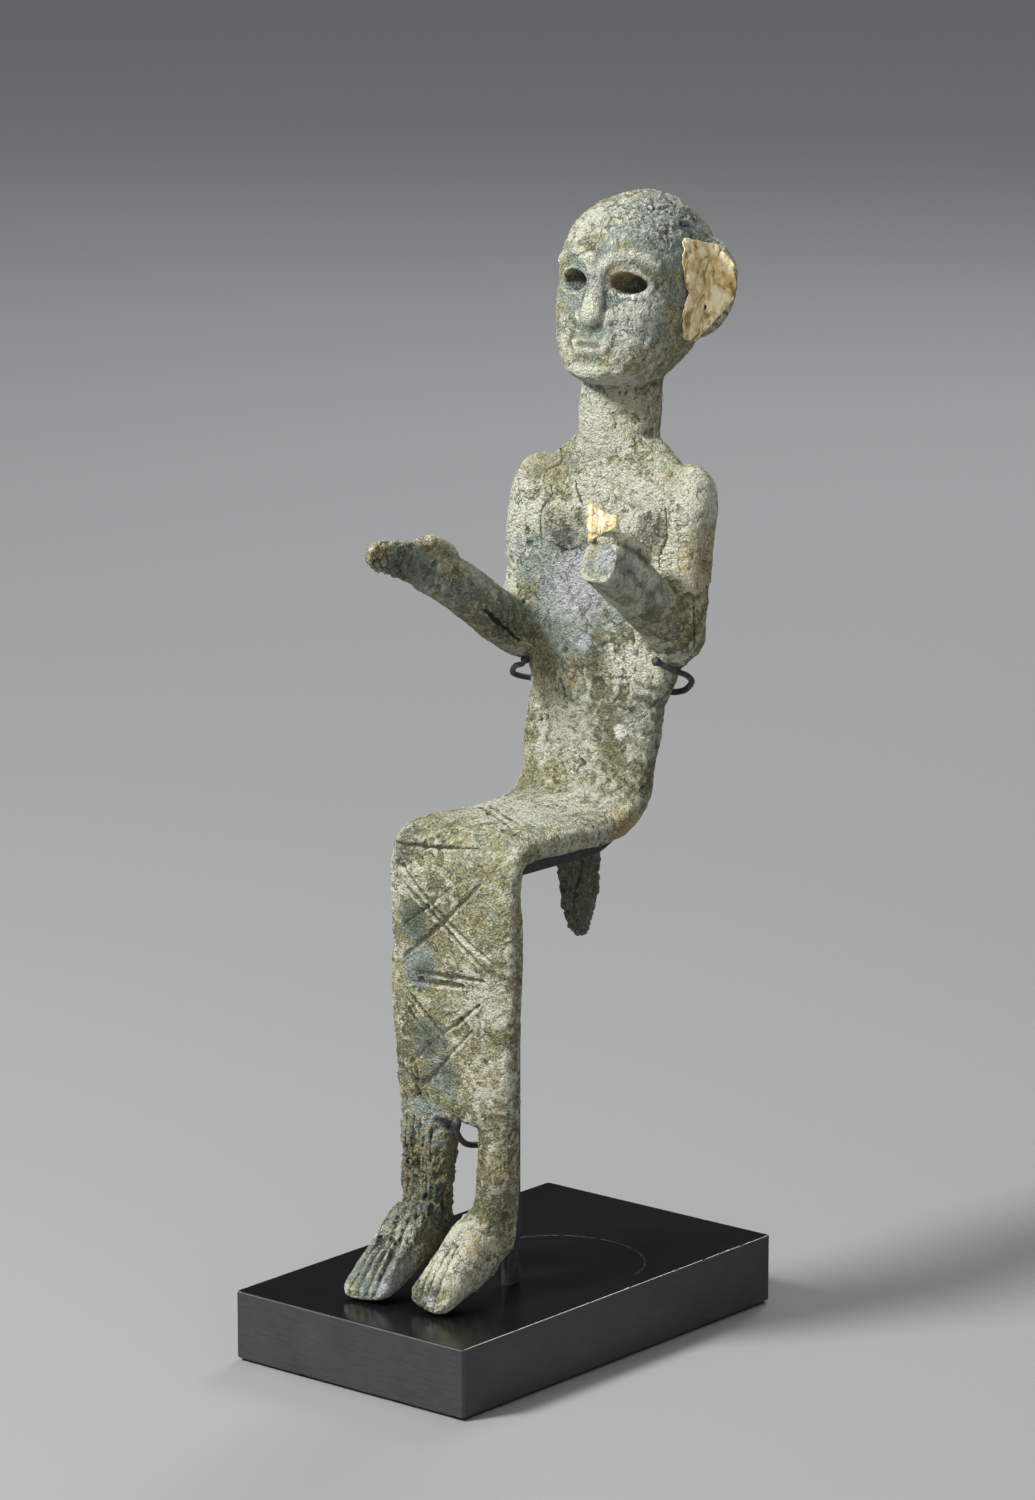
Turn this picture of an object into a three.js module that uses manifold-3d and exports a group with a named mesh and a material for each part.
// A cast bronze figure of a seated woman, Bronze Age, on its museum stand.
// Millimetres, +Z up. The origin is the centre of the felt's underside. The figure faces -Y and
// its left side is +X. The base's long side runs along Y.

import * as THREE from "three";
import { mergeVertices } from "three/addons/utils/BufferGeometryUtils.js";
import Module from "manifold-3d";

const wasm = await Module();
wasm.setup();

// Driving dimensions of the stand
const BASE_LENGTH = 100;
const BASE_WIDTH = 60.5;
const BASE_TOP = 14.85;
const BASE_ARRIS = 0.3;
const FELT_THICKNESS = 0.6;
const FELT_INSET = 0.6;
const ROD_WIDTH = 2;
const ROD_DEPTH = 4;
const ROD_X = 9.5;
const ROD_FRONT_Y = -12.3;
const SADDLE_THICKNESS = 2.6;
const HOOK_RADIUS = 0.65;
const CLEARANCE = 0.4;

// Driving dimensions of the figure
const MID_X = 2.65;
const SHIN_Y = -19.2;
const SHIN_WIDTH = 32;
const SLAB_THICKNESS = 7.6;
const HEM_Z = 50.5;
const KNEE_Z = 102.8;
const KNEE_RADIUS = 4.5;
const THIGH_Z = 107.3;
const HIP_Y = 12.5;
const HIP_RADIUS = 10.4;
const WAIST_WIDTH = 33.4;
const CHEST_WIDTH = 30.4;
const CHEST_SHIFT = 0.7;
const NECK_WIDTH = 17.8;
const ARM_WIDTH = 12.4;
const SHOULDER_OUT = 19.4;
const FIST_OUT = 18.2;
const BREASTS = [
  { x: MID_X - 8.7, z: 165.8, half: 5.7, rise: 3.6 },
  { x: MID_X + 11.8, z: 165.2, half: 5.9, rise: 2.9 },
];
const HEAD_CENTRE = [2.65, 37.2, 213.7];
const HEAD_HEIGHT = 41;
const HEAD_WIDTH = 29.5;
const HEAD_TURN = THREE.MathUtils.degToRad(10);
const HEAD_TIP_BACK = THREE.MathUtils.degToRad(12);
const LEFT_EAR_SPREAD = THREE.MathUtils.degToRad(48);
const RIGHT_EAR_SPREAD = THREE.MathUtils.degToRad(26);
const EYE_WIDTH = 7;
const EYE_HEIGHT = 4.2;
const EYE_OUT = 6.3;
const GROOVE_RADIUS = 0.55;
const FOIL_THICKNESS = 0.5;

// The right leg is stouter, and its foot reaches further forward
const LEGS = [
  { x: -5.6, toeX: -5, reach: 2.4, w: 6.5, d: 4.9, spread: 0.3, turn: 0.05 },
  { x: 12.6, toeX: 8.9, reach: -0.2, w: 4.7, d: 4.5, spread: 0, turn: -0.1 },
];
const FOOT_POWER = 2.4;
const TOE_PITCH = 2.3;
const TOE_GAPS = [-1.35, -0.4, 0.5, 1.4];
const TOE_GROOVE_WIDTH = 0.7;
const TOE_GROOVE_DEPTH = 0.6;
const TOE_GROOVE_END = [0, -0.8, -2];
// Stations of the foot that the grooves pass, and how far apart and how big they are there
const TOE_STATIONS = [
  [5, 0.86, 0.6],
  [6, 1, 1],
  [7, 1, 1],
  [8, 1, 1],
];

const v3 = (p) => new THREE.Vector3(...p);

// Boolean helpers

function toSolid(geometry) {
  const bare = geometry.clone();
  bare.deleteAttribute("normal");
  bare.deleteAttribute("uv");
  const merged = mergeVertices(bare, 1e-4);
  return new wasm.Manifold(
    new wasm.Mesh({
      numProp: 3,
      vertProperties: new Float32Array(merged.attributes.position.array),
      triVerts: new Uint32Array(merged.index.array),
    }),
  );
}

function toGeometry(solid) {
  const mesh = solid.getMesh();
  const positions = new Float32Array(mesh.numVert * 3);
  for (let i = 0; i < mesh.numVert; i++) {
    positions.set(mesh.vertProperties.subarray(i * mesh.numProp, i * mesh.numProp + 3), i * 3);
  }
  const geometry = new THREE.BufferGeometry();
  geometry.setAttribute("position", new THREE.BufferAttribute(positions, 3));
  geometry.setIndex(new THREE.BufferAttribute(new Uint32Array(mesh.triVerts), 1));
  geometry.computeVertexNormals();
  return geometry;
}

const joinAll = (solids) => solids.reduce((whole, next) => whole.add(next));

// Rings and lofts: a loft is a closed skin through rings of points

function loftRings(rings) {
  const sides = rings[0].length;
  const positions = rings.flat().flatMap((p) => [p.x, p.y, p.z]);
  const index = [];
  for (let r = 0; r + 1 < rings.length; r++) {
    for (let s = 0; s < sides; s++) {
      const next = (s + 1) % sides;
      const [a, b] = [r * sides + s, r * sides + next];
      index.push(a, b, b + sides, a, b + sides, a + sides);
    }
  }
  const centreOf = (ring) =>
    ring.reduce((sum, p) => sum.add(p), new THREE.Vector3()).divideScalar(sides);
  const [first, last] = [centreOf(rings[0]), centreOf(rings[rings.length - 1])];
  positions.push(first.x, first.y, first.z, last.x, last.y, last.z);
  const firstCentre = rings.length * sides;
  const lastRing = (rings.length - 1) * sides;
  for (let s = 0; s < sides; s++) {
    const next = (s + 1) % sides;
    index.push(firstCentre, next, s, firstCentre + 1, lastRing + s, lastRing + next);
  }
  const geometry = new THREE.BufferGeometry();
  geometry.setAttribute("position", new THREE.Float32BufferAttribute(positions, 3));
  geometry.setIndex(index);
  return geometry;
}

// One point of a superellipse: power 2 is an ellipse, 4 a soft-cornered rectangle
function squircle(angle, halfWidth, halfDepth, power) {
  const [c, s] = [Math.cos(angle), Math.sin(angle)];
  const bend = (value) => Math.sign(value) * Math.abs(value) ** (2 / power);
  return [halfWidth * bend(c), halfDepth * bend(s)];
}

// A skin along a path. A station is { at, w, d, power }: its centre, half its width along the
// side direction, half its depth across that, and how square it is. The turn sets where on the
// ring the first corner lies: 0 puts a corner on the side direction, 0.5 a flat.
function pathLoft(stations, sides, side = [1, 0, 0], turn = 0.5) {
  const frames = pathFrames(stations, side);
  const rings = stations.map((station, i) => {
    const { centre, across, deep } = frames[i];
    const ring = [];
    for (let k = 0; k < sides; k++) {
      const angle = (2 * Math.PI * (k + turn)) / sides;
      const [x, y] = squircle(angle, station.w, station.d, station.power ?? 2);
      ring.push(centre.clone().addScaledVector(across, x).addScaledVector(deep, y));
    }
    return ring;
  });
  return toSolid(loftRings(rings));
}

// Each station's centre, its side direction and the direction across that and the path
function pathFrames(stations, side) {
  const centres = stations.map((s) => v3(s.at));
  return centres.map((centre, i) => {
    const before = centres[Math.max(i - 1, 0)];
    const after = centres[Math.min(i + 1, centres.length - 1)];
    const along = after.clone().sub(before).normalize();
    const across = v3(side);
    across.addScaledVector(along, -across.dot(along)).normalize();
    return { centre, across, deep: along.clone().cross(across) };
  });
}

// A ball squashed to three half sizes
function blob(at, size, segments = 12) {
  const ball = new THREE.SphereGeometry(1, segments, Math.round(segments * 0.6));
  ball.scale(...size).translate(...at);
  return toSolid(ball);
}

// The bent slab: skirt, knees, lap, trunk and neck are one strip of metal

function arc(centreY, centreZ, radius, from, to, steps) {
  const points = [];
  for (let i = 0; i <= steps; i++) {
    const angle = THREE.MathUtils.degToRad(from + ((to - from) * i) / steps);
    points.push([MID_X, centreY + radius * Math.cos(angle), centreZ + radius * Math.sin(angle)]);
  }
  return points;
}

const SHIN_HALF = SHIN_WIDTH / 2;
const SLAB_HALF = SLAB_THICKNESS / 2;

function slabStations() {
  const shin = [
    [HEM_Z, -17.9, 14.7],
    [HEM_Z + 5, -18.5, 15.1],
    [62, SHIN_Y, 15.5],
    [78, SHIN_Y, SHIN_HALF],
    [92, SHIN_Y, SHIN_HALF + 0.2],
  ].map(([z, y, w]) => ({ at: [MID_X, y, z], w, d: SLAB_HALF, power: 3.4 }));
  const knee = arc(SHIN_Y + KNEE_RADIUS, KNEE_Z, KNEE_RADIUS, 180, 90, 4);
  const hip = arc(HIP_Y, THIGH_Z + HIP_RADIUS, HIP_RADIUS, -90, 0, 5);
  const lap = [MID_X, -2, THIGH_Z];
  const bend = [...knee, lap].map((at) => ({ at, w: SHIN_HALF + 0.2, d: SLAB_HALF, power: 3.2 }));
  const seat = hip.map((at, i) => ({ at, w: SHIN_HALF + 0.1, d: SLAB_HALF + 0.3 + 0.14 * i, power: 3 }));
  const waist = WAIST_WIDTH / 2;
  const chest = CHEST_WIDTH / 2;
  const neck = NECK_WIDTH / 2;
  const trunk = [
    [124, 24.4, 0, waist, 4.9, 2.8],
    [134, 26, 0, waist, 5, 2.8],
    [144, 27.2, 0.3, waist - 0.6, 5.2, 2.6],
    [154, 28.4, 1, chest, 5.5, 2.5],
    [166, 30, 1, chest + 0.3, 5.8, 2.5],
    [172, 30.9, 0.8, chest + 4, 5.6, 2.4],
    [176, 31.5, 0.5, chest + 4.6, 5.2, 2.3],
    [178.7, 31.9, 0.3, chest + 0.6, 5.4, 2.2],
    [180.8, 32.2, 0, neck + 3, 6.4, 2.1],
    [184, 32.6, 0, neck + 0.6, 7.4, 2],
    [189, 33, 0, neck, 7.8, 2],
    [200, 35, 0, neck - 0.6, 7.8, 2],
  ].map(([z, y, shift, w, d, power]) => ({ at: [MID_X + CHEST_SHIFT * shift, y, z], w, d, power }));
  return [...shin, ...bend, ...seat, ...trunk];
}

// The shoulders: a flat plate that fills the chest out to the arms and slopes up to the neck
function shoulders() {
  const stations = [
    [131, 25.6, 16.3, 4.4, 3],
    [135, 26.2, 18, 5, 3.2],
    [138, 26.6, 18.9, 5.2, 3.3],
    [141, 27, 19.7, 5.3, 3.4],
    [146, 27.6, 20.8, 5.4, 3.6],
    [152, 28.2, 22, 5.6, 4],
    [158, 29, 22.5, 5.8, 5],
    [166, 30, 22.5, 5.8, 5],
    [172, 30.9, 21.8, 5.5, 4],
    [176, 31.4, 20, 4.9, 3],
    [179, 31.9, 17, 4.6, 2.6],
    [181.4, 32.2, 13.6, 5, 2.3],
    [184.2, 32.6, 9.9, 5.4, 2],
  ];
  return pathLoft(
    stations.map(([z, y, w, d, power]) => ({ at: [MID_X + CHEST_SHIFT, y, z], w, d, power })),
    20,
  );
}

// The arms: an upper arm fused to the trunk, a raised forearm and a hand

function upperArm(sign) {
  const x = MID_X + sign * SHOULDER_OUT;
  const half = ARM_WIDTH / 2;
  const drop = sign < 0 ? 2.6 : 1;
  const stations = [
    [179 - drop, 31.6, 3, 2.2, -3.6],
    [177.4 - drop, 31.5, 5.4, 4.4, -1.6],
    [173.5 - drop, 31, half + 0.1, 5.5, -0.2],
    [166, 29.9, half, 5.7, 0],
    [156, 28.6, half - 0.1, 5.7, 0],
    [147.5, 27.8, half - 0.3, 5.6, -0.4],
    [142.8, 28.8, half - 0.9, 5.2, -0.8],
    [140.2, 30.6, 2.8, 3, -1],
  ];
  return pathLoft(
    stations.map(([z, y, w, d, out]) => ({ at: [x + sign * out, y, z], w, d, power: 2.2 })),
    14,
  );
}

function rightForearmAndHand() {
  const x = MID_X - SHOULDER_OUT;
  const forearm = pathLoft(
    [
      { at: [x, 31.4, 139.4], w: 3, d: 2.4 },
      { at: [x, 27.4, 140.8], w: 4.8, d: 4.7 },
      { at: [x, 20, 144.8], w: 5.2, d: 5.5 },
      { at: [x, 8.5, 152.2], w: 5, d: 5.3 },
      { at: [x, -1.5, 157.6], w: 4.6, d: 5 },
      { at: [x, -6.5, 159.8], w: 3.6, d: 4.8 },
    ],
    12,
  );
  const lean = [1, 0, -0.3];
  const hand = pathLoft(
    [
      { at: [x, 1, 157], w: 3.4, d: 4.4, power: 2.2 },
      { at: [x, -5, 159.9], w: 2.6, d: 4.7, power: 2.6 },
      { at: [x, -11, 161.9], w: 1.9, d: 4.3, power: 2.8 },
      { at: [x, -17, 163.5], w: 1.7, d: 3.6, power: 2.8 },
      { at: [x, -21.8, 164.6], w: 1.5, d: 2.7, power: 2.6 },
      { at: [x, -23.6, 164.9], w: 1, d: 1.6, power: 2.4 },
    ],
    12,
    lean,
  );
  const thumb = pathLoft(
    [
      { at: [x + 0.6, 2.4, 160.6], w: 1.7, d: 1.8 },
      { at: [x + 0.7, -2, 163.6], w: 2.2, d: 1.9 },
      { at: [x + 0.5, -7, 164.8], w: 2, d: 1.7 },
      { at: [x + 0.3, -10, 165], w: 1, d: 0.9 },
    ],
    8,
  );
  return [forearm, hand, thumb];
}

function leftForearmAndFist() {
  const x = MID_X + FIST_OUT;
  const forearm = pathLoft(
    [
      { at: [x + 0.9, 31.4, 142.8], w: 3, d: 2.4 },
      { at: [x + 0.9, 28.6, 145.4], w: 4.8, d: 4.8 },
      { at: [x + 0.5, 20.5, 152], w: 5.2, d: 5.7 },
      { at: [x, 13, 158.6], w: 5, d: 5.8 },
      { at: [x + 0.1, 8, 161.8], w: 4.7, d: 5.2, power: 2.6 },
      { at: [x + 0.4, 4, 163.6], w: 4.3, d: 4.4, power: 3.2 },
      { at: [x + 0.5, 2.6, 164.2], w: 4, d: 4, power: 3.6 },
    ],
    14,
  );
  const thumb = pathLoft(
    [
      { at: [x + 0.4, 16.5, 162.4], w: 3, d: 2.6 },
      { at: [x + 0.2, 11.5, 165.8], w: 3.5, d: 2.7 },
      { at: [x - 0.4, 6.5, 167.6], w: 3.1, d: 2.2 },
      { at: [x - 0.8, 3.8, 167.4], w: 1.6, d: 1.3 },
    ],
    8,
  );
  return [forearm, thumb];
}

// Legs, feet and the toes' grooves

function legColumn({ x, w, d }) {
  return pathLoft(
    [
      { at: [x, -17.8, HEM_Z + 5], w, d: d - 1.2 },
      { at: [x, -17.8, HEM_Z - 3], w, d: d - 0.3 },
      { at: [x - 0.4, -17.9, 38], w: w - 0.2, d },
      { at: [x - 0.8, -18, 30], w: w - 0.5, d },
      { at: [x - 1, -17.6, 25], w: w - 1, d: d - 0.6 },
      { at: [x - 1, -17.4, 22.4], w: w - 2, d: d - 2 },
    ],
    16,
  );
}

function footStations({ x, toeX, reach, spread }) {
  const profile = [
    [-13.9, 23.4, 27.4, 2.4],
    [-15.2, 21.4, 29.6, 3.8],
    [-18, 19.8, 33, 4.6],
    [-22, 18.4, 33, 4.9],
    [-26, 17, 29.4, 5],
    [-30, 15.9, 25.6, 5.2],
    [-34, 15.1, 21.6, 5.4],
    [-36.4, BASE_TOP - 0.2, 19.3, 5.1],
    [-37.6, 15.3, 17.5, 3.8],
  ];
  return profile.map(([y, low, high, half], i) => {
    const t = i / (profile.length - 1);
    const at = [THREE.MathUtils.lerp(x - 1, toeX, t), y - reach * t, (low + high) / 2];
    return { at, w: half + spread, d: (high - low) / 2, power: FOOT_POWER };
  });
}

function foot(leg) {
  return pathLoft(footStations(leg), 16, [1, leg.turn, 0]);
}

// The grooves run along the top of the foot's last stations and over its front end
function toeGrooves(leg) {
  const stations = footStations(leg);
  const frames = pathFrames(stations, [1, leg.turn, 0]);
  const [w, d] = [TOE_GROOVE_WIDTH * Math.SQRT1_2, TOE_GROOVE_DEPTH * Math.SQRT2];
  return TOE_GAPS.map((gap) => {
    const groove = TOE_STATIONS.map(([k, spread, size]) => {
      const out = TOE_PITCH * gap * spread;
      const share = Math.abs(out) / stations[k].w;
      const rise = stations[k].d * (1 - share ** FOOT_POWER) ** (1 / FOOT_POWER);
      const { centre, across, deep } = frames[k];
      const at = centre.clone().addScaledVector(across, out).addScaledVector(deep, rise);
      return { at: [...at], w: w * size, d: d * size };
    });
    const end = v3(groove.at(-1).at).add(v3(TOE_GROOVE_END));
    return pathLoft([...groove, { at: [...end], w, d }], 4);
  });
}

// The tang below the seat once held the figure to its throne
function tang() {
  return pathLoft(
    [
      { at: [MID_X, 19.6, 108], w: 4.8, d: 4.2 },
      { at: [MID_X, 19.6, 101], w: 4.8, d: 4.2 },
      { at: [MID_X, 19.8, 94], w: 4.2, d: 4.2 },
      { at: [MID_X, 20, 88], w: 3.6, d: 4 },
      { at: [MID_X, 20.4, 84], w: 2.8, d: 2.9 },
      { at: [MID_X, 20.8, 81.2], w: 1.6, d: 1.7 },
    ],
    12,
  );
}

// Incised lattice on the skirt's front: each cut is a thin rod sunk halfway into the skin

function skirtSkin(x, z) {
  const y = z < 62 ? THREE.MathUtils.lerp(-17.7, SHIN_Y, (z - HEM_Z) / (62 - HEM_Z)) : SHIN_Y;
  const share = Math.min(Math.abs((x - MID_X) / (SHIN_HALF - 0.3)), 0.999);
  return y - SLAB_HALF * (1 - share ** 3.4) ** (1 / 3.4);
}

function skirtCut(points, radius = GROOVE_RADIUS) {
  const last = points.length - 1;
  const stations = points.map(([x, z], i) => {
    const size = i === 0 || i === last ? radius * 0.6 : radius;
    return { at: [MID_X + x, skirtSkin(MID_X + x, z) - 0.05, z], w: size, d: size };
  });
  return pathLoft(stations, 4, [0, 1, 0], 0);
}

// Two crossed double bands, one above and one below a pair of level lines
function skirtLattice() {
  const upper = 92.6;
  const lower = 68.4;
  const deep = GROOVE_RADIUS * 1.3;
  return [
    skirtCut([[-11.6, upper + 9.8], [0.3, upper], [12, upper - 6.6]]),
    skirtCut([[-11.2, upper + 6.4], [0.6, upper - 1.8], [10, upper - 8.3]]),
    skirtCut([[10, upper + 9.5], [0.2, upper], [-11.4, upper - 9.5]], deep),
    skirtCut([[4.3, upper + 8.9], [-4.5, upper + 2], [-11.4, upper - 2.7]]),
    skirtCut([[-8.8, 80.8], [10, 81.6]]),
    skirtCut([[-8.8, 78.6], [5, 79.8]]),
    skirtCut([[-9.6, lower + 7.7], [0, lower - 0.1]]),
    skirtCut([[-10.7, lower + 4.5], [-3, lower - 1.2]]),
    skirtCut([[9.2, lower + 8.3], [0.5, lower + 1.4], [-9.7, lower - 7.2]], deep),
    skirtCut([[7.3, lower + 2.6], [-3.3, lower - 8.6], [-10.2, lower - 13.9]], deep),
  ];
}

function lapLine(y) {
  const z = THIGH_Z + SLAB_HALF - 0.1;
  const ends = [
    [-10.6, y + 6.6],
    [9, y - 6.8],
  ];
  const stations = ends.map(([x, endY]) => ({ at: [MID_X + x, endY, z], w: 0.6, d: 0.6 }));
  return pathLoft(stations, 4, [0, 0, 1], 0);
}

// The head, built upright about its own centre, then turned and tipped back

const headPose = new THREE.Matrix4()
  .makeTranslation(...HEAD_CENTRE)
  .multiply(new THREE.Matrix4().makeRotationZ(HEAD_TURN))
  .multiply(new THREE.Matrix4().makeRotationX(-HEAD_TIP_BACK));

// Height, half width, front and back of the skull and face, as shares of the head's size
const SKULL = [
  [-0.5, 0.16, -0.29, -0.02],
  [-0.47, 0.25, -0.36, 0.06],
  [-0.4, 0.35, -0.395, 0.17],
  [-0.3, 0.43, -0.4, 0.27],
  [-0.19, 0.475, -0.39, 0.35],
  [-0.08, 0.495, -0.38, 0.4],
  [0, 0.5, -0.375, 0.42],
  [0.08, 0.502, -0.4, 0.435],
  [0.17, 0.495, -0.395, 0.44],
  [0.27, 0.46, -0.35, 0.435],
  [0.36, 0.39, -0.27, 0.385],
  [0.43, 0.29, -0.17, 0.3],
  [0.48, 0.16, -0.05, 0.18],
  [0.5, 0.03, 0.03, 0.07],
];

const SKULL_POWER = 2.25;

function skull() {
  const sides = 24;
  const rings = SKULL.map(([height, half, front, back]) => {
    const ring = [];
    const middle = ((front + back) / 2) * HEAD_HEIGHT;
    const depth = ((back - front) / 2) * HEAD_HEIGHT;
    for (let k = 0; k < sides; k++) {
      const angle = (2 * Math.PI * (k + 0.5)) / sides;
      const [x, y] = squircle(angle, half * HEAD_WIDTH, depth, SKULL_POWER);
      ring.push(new THREE.Vector3(x, middle + y, height * HEAD_HEIGHT));
    }
    return ring;
  });
  return toSolid(loftRings(rings));
}

// How far out the side of the skull lies at a height and a depth of the head
function skullSide(y, z) {
  const height = z / HEAD_HEIGHT;
  const above = Math.max(1, SKULL.findIndex((row) => row[0] >= height));
  const [low, high] = [SKULL[above - 1], SKULL[above]];
  const t = (height - low[0]) / (high[0] - low[0]);
  const [half, front, back] = [1, 2, 3].map((i) => THREE.MathUtils.lerp(low[i], high[i], t));
  const middle = ((front + back) / 2) * HEAD_HEIGHT;
  const depth = ((back - front) / 2) * HEAD_HEIGHT;
  const share = Math.min(Math.abs((y - middle) / depth), 1);
  return half * HEAD_WIDTH * (1 - share ** SKULL_POWER) ** (1 / SKULL_POWER);
}

function nose() {
  return pathLoft(
    [
      { at: [0, -14.6, 3.2], w: 1.5, d: 1.6 },
      { at: [0, -16, -1], w: 1.7, d: 2 },
      { at: [0, -17, -5], w: 2.3, d: 2.4 },
      { at: [0, -17.2, -7.4], w: 3.1, d: 2.5 },
      { at: [0, -16, -8.8], w: 2.4, d: 1.6 },
    ],
    10,
  );
}

function lips() {
  const lip = (z, halfHeight) => blob([0, -15.7, z], [4.8, 2, halfHeight], 10);
  return [lip(-11.9, 1), lip(-13.8, 1.1)];
}

// An ear is a flap that stands out and back from the skull: height, length and root of its rows
const EAR_ROOT_Y = 3.2;
const EAR_THICKNESS = 2.2;
const EAR_ROWS = [
  [-7.8, 2],
  [-5.8, 4.3],
  [-2.2, 6.4],
  [2.2, 7.3],
  [6.6, 6.5],
  [9.4, 4.2],
  [11, 1.8],
];

function earRoot(z) {
  return [skullSide(EAR_ROOT_Y, z) - 0.3, EAR_ROOT_Y + z * 0.08, z];
}

function ear(sign, spread) {
  const out = [Math.sin(spread), Math.cos(spread)];
  const stations = EAR_ROWS.map(([z, length]) => {
    const [x, y] = earRoot(z);
    const reach = length / 2 - 0.8;
    const half = length / 2 + 0.8;
    const back = EAR_THICKNESS / 2;
    return {
      at: [sign * (x + out[0] * reach - out[1] * back), y + out[1] * reach + out[0] * back, z],
      w: half,
      d: Math.min(back, length * 0.4),
      power: 2.4,
    };
  });
  return pathLoft(stations, 12, [sign * out[0], out[1], 0]);
}

function eyeSocket(sign, depth) {
  const socket = new THREE.SphereGeometry(1, 16, 8);
  socket.scale(EYE_WIDTH / 2, depth, EYE_HEIGHT / 2);
  socket.translate(sign * EYE_OUT, -14.6, 0);
  return toSolid(socket);
}

function head() {
  const whole = joinAll([skull(), nose(), ...lips(), ear(1, LEFT_EAR_SPREAD), ear(-1, RIGHT_EAR_SPREAD)])
    .subtract(eyeSocket(1, 6))
    .subtract(eyeSocket(-1, 4.2));
  return whole.transform(headPose.elements);
}

// Gold leaf: a patch is rows of skin points, made into a plate of even thickness

function plate(rows, lift, thickness) {
  const [high, wide] = [rows.length, rows[0].length];
  const normalAt = (r, c) => {
    const at = (i, j) => rows[THREE.MathUtils.clamp(i, 0, high - 1)][THREE.MathUtils.clamp(j, 0, wide - 1)];
    const along = at(r, c + 1).clone().sub(at(r, c - 1));
    const up = at(r + 1, c).clone().sub(at(r - 1, c));
    return along.cross(up).normalize();
  };
  const positions = [];
  for (const offset of [lift, lift + thickness]) {
    for (let r = 0; r < high; r++) {
      for (let c = 0; c < wide; c++) {
        const p = rows[r][c].clone().addScaledVector(normalAt(r, c), offset);
        positions.push(p.x, p.y, p.z);
      }
    }
  }
  const top = high * wide;
  const index = [];
  const quad = (a, b, c, d) => index.push(a, b, c, a, c, d);
  for (let r = 0; r + 1 < high; r++) {
    for (let c = 0; c + 1 < wide; c++) {
      const a = r * wide + c;
      quad(top + a, top + a + 1, top + a + 1 + wide, top + a + wide);
      quad(a, a + wide, a + 1 + wide, a + 1);
    }
  }
  for (let c = 0; c + 1 < wide; c++) {
    const b = (high - 1) * wide + c;
    quad(c, c + 1, top + c + 1, top + c);
    quad(b + 1, b, top + b, top + b + 1);
  }
  for (let r = 0; r + 1 < high; r++) {
    const [a, b] = [r * wide, r * wide + wide - 1];
    quad(a + wide, a, top + a, top + a + wide);
    quad(b, b + wide, top + b + wide, top + b);
  }
  const geometry = new THREE.BufferGeometry();
  geometry.setAttribute("position", new THREE.Float32BufferAttribute(positions, 3));
  geometry.setIndex(index);
  return toSolid(geometry);
}

// Height of each row on the head, where its front edge lies, and how far it runs out on the ear
const EAR_LEAF_ROWS = [
  [-9.4, -2.4, 0.8],
  [-6.6, -5, 2.4],
  [-2.4, -4.3, 5.2],
  [2.2, -5.8, 6.4],
  [6.8, -6.4, 5.6],
  [10.4, -5.5, 2],
];

function earLeaf() {
  const out = [Math.sin(LEFT_EAR_SPREAD), Math.cos(LEFT_EAR_SPREAD)];
  const rows = EAR_LEAF_ROWS.map(([z, front, reach]) => {
    const [rootX, rootY] = earRoot(z);
    const row = [];
    for (let i = 0; i <= 4; i++) {
      const y = THREE.MathUtils.lerp(front, rootY - 0.6, i / 4);
      row.push(new THREE.Vector3(skullSide(y, z), y, z));
    }
    for (const share of [0.5, 1]) {
      const go = reach * share;
      row.push(new THREE.Vector3(rootX + out[0] * go, rootY + out[1] * go, z));
    }
    return row;
  });
  return plate(rows, CLEARANCE, FOIL_THICKNESS).transform(headPose.elements);
}

// A folded scrap of leaf stands on the left thumb
function fistLeaf() {
  const x = MID_X + FIST_OUT;
  const columns = [
    [x - 3.6, 4.4, 168.4, 175.2],
    [x - 1.6, 2.9, 168.1, 175.4],
    [x + 0.6, 3.6, 169.8, 174.7],
    [x + 3, 5.6, 171.2, 173.6],
  ];
  const rows = [0, 0.5, 1].map((t) =>
    columns.map(([cx, cy, low, high]) => new THREE.Vector3(cx, cy, THREE.MathUtils.lerp(low, high, t))),
  );
  return plate(rows, 0, FOIL_THICKNESS + 0.1);
}

// The stand: a stone block on felt, a bar behind the legs, a saddle strap and three hooks

function box(width, depth, height, x, y, z) {
  return new THREE.BoxGeometry(width, depth, height).translate(x, y, z + height / 2);
}

function stoneBlock() {
  const [halfX, halfY] = [BASE_WIDTH / 2 - BASE_ARRIS, BASE_LENGTH / 2 - BASE_ARRIS];
  const outline = new THREE.Shape();
  outline.moveTo(-halfX, -halfY).lineTo(halfX, -halfY).lineTo(halfX, halfY).lineTo(-halfX, halfY);
  const geometry = new THREE.ExtrudeGeometry(outline, {
    depth: BASE_TOP - FELT_THICKNESS - 2 * BASE_ARRIS,
    bevelSize: BASE_ARRIS,
    bevelThickness: BASE_ARRIS,
    bevelSegments: 1,
  });
  return geometry.translate(0, 0, FELT_THICKNESS + BASE_ARRIS);
}

function bar(points, width, thickness) {
  const stations = points.map(([y, z]) => ({
    at: [ROD_X, y, z],
    w: (width / 2) * Math.SQRT2,
    d: (thickness / 2) * Math.SQRT2,
  }));
  return pathLoft(stations, 4);
}

function saddleStrap() {
  const underSeat = THIGH_Z - SLAB_HALF - 2.1;
  const [turnY, turnZ] = [HIP_Y + 1, THIGH_Z + HIP_RADIUS];
  const radius = turnZ - underSeat;
  const points = [[-13.4, underSeat], [0, underSeat]];
  for (let i = 0; i <= 6; i++) {
    const angle = THREE.MathUtils.degToRad(-90 + 14 * i);
    points.push([turnY + radius * Math.cos(angle), turnZ + radius * Math.sin(angle)]);
  }
  points.push([31.6, 125], [33.2, 134.6]);
  return bar(points, ROD_WIDTH, SADDLE_THICKNESS);
}

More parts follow.
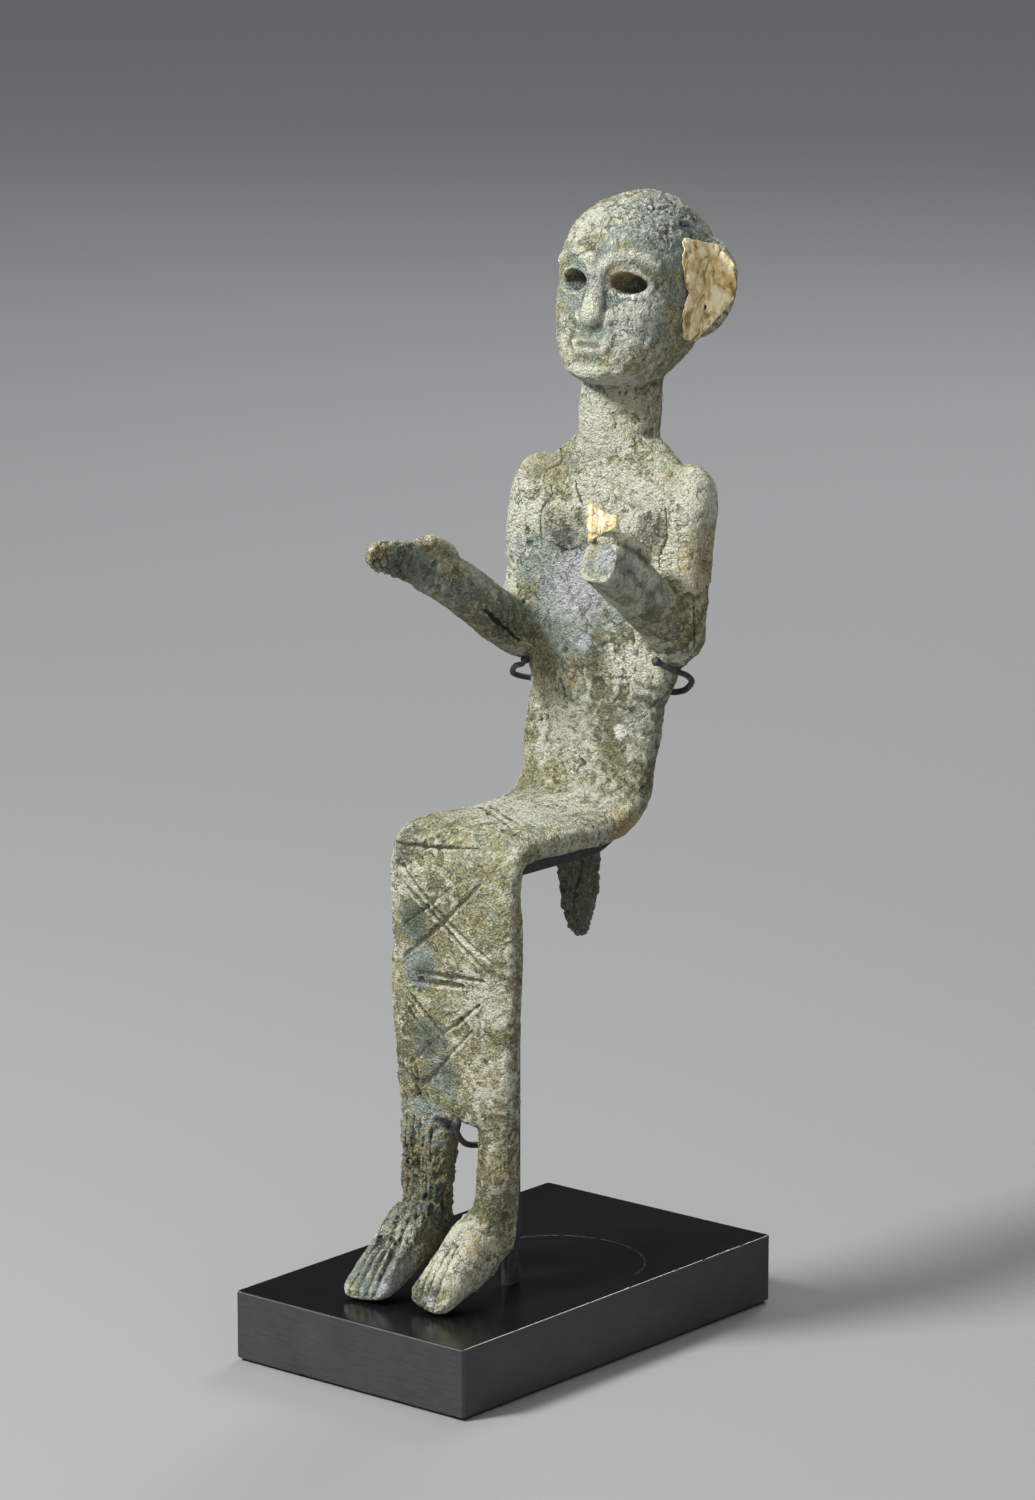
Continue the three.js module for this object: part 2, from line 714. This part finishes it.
function hook(points) {
  const curve = new THREE.CatmullRomCurve3(points.map(v3));
  const section = new THREE.Shape().absarc(0, 0, HOOK_RADIUS, 0, 2 * Math.PI);
  const geometry = new THREE.ExtrudeGeometry(section, {
    steps: points.length * 2,
    curveSegments: 4,
    extrudePath: curve,
  });
  return toSolid(geometry);
}

const NEAR_HOOK = [
  [ROD_X, 33.4, 132.4],
  [17.5, 33.4, 132.3],
  [20.9, 32.2, 133.6],
  [23.2, 30.9, 135.7],
  [23.8, 28.7, 137.2],
  [23.4, 24.7, 138.9],
  [22, 22.5, 140.3],
  [20.6, 21.4, 141.3],
];
const FAR_HOOK = [
  [ROD_X, 33.4, 132.4],
  [-4, 33.6, 132],
  [-13, 32.2, 131.7],
  [-18.2, 28.2, 131.6],
  [-19.2, 25, 132.8],
  [-17, 23, 134.9],
  [-13.9, 22, 136.2],
  [-13.2, 21.8, 137.3],
];
const HEM_HOOK = [
  [ROD_X, -11, 45],
  [6.5, -17, 45.1],
  [6, -20.8, 46.3],
  [5.9, -22.9, 49],
  [5.9, -23.1, 52],
];

function armature() {
  const rodTop = THIGH_Z - SLAB_HALF - 2;
  const rod = box(ROD_WIDTH, ROD_DEPTH, rodTop - BASE_TOP, ROD_X, ROD_FRONT_Y + ROD_DEPTH / 2, BASE_TOP);
  return joinAll([toSolid(rod), saddleStrap(), hook(NEAR_HOOK), hook(FAR_HOOK), hook(HEM_HOOK)]);
}

const material = (color, roughness, metalness) =>
  new THREE.MeshStandardMaterial({ color, roughness, metalness });

const bronze = material(0x8a8a6c, 0.85, 0.15);
const gold = material(0xcdb07a, 0.45, 0.6);
const stone = material(0x17181a, 0.35, 0);
const felt = material(0x101010, 1, 0);
const black = material(0x26262a, 0.5, 0.2);

const figure = joinAll([
  pathLoft(slabStations(), 24),
  shoulders(),
  upperArm(1),
  upperArm(-1),
  ...rightForearmAndHand(),
  ...leftForearmAndFist(),
  ...BREASTS.map(({ x, z, half, rise }) => blob([x, 25.6, z], [half, rise, half + 0.2], 14)),
  ...LEGS.flatMap((leg) => [legColumn(leg), foot(leg)]),
  tang(),
  head(),
]);
const lapLines = [-6.3, -3.5].map(lapLine);
const cuts = joinAll([...skirtLattice(), ...lapLines, ...LEGS.flatMap(toeGrooves)]);

const named = (name, geometry, finish) => {
  const mesh = new THREE.Mesh(geometry, finish);
  mesh.name = name;
  return mesh;
};

const root = new THREE.Group();
root.add(
  named("figure", toGeometry(figure.subtract(cuts)), bronze),
  named("gold_leaf_ear", toGeometry(earLeaf()), gold),
  named("gold_leaf_fist", toGeometry(fistLeaf()), gold),
  named("support_armature", toGeometry(armature()), black),
  named("display_base", stoneBlock(), stone),
  named(
    "base_felt",
    box(BASE_WIDTH - 2 * FELT_INSET, BASE_LENGTH - 2 * FELT_INSET, FELT_THICKNESS, 0, 0, 0),
    felt,
  ),
);

export default root;
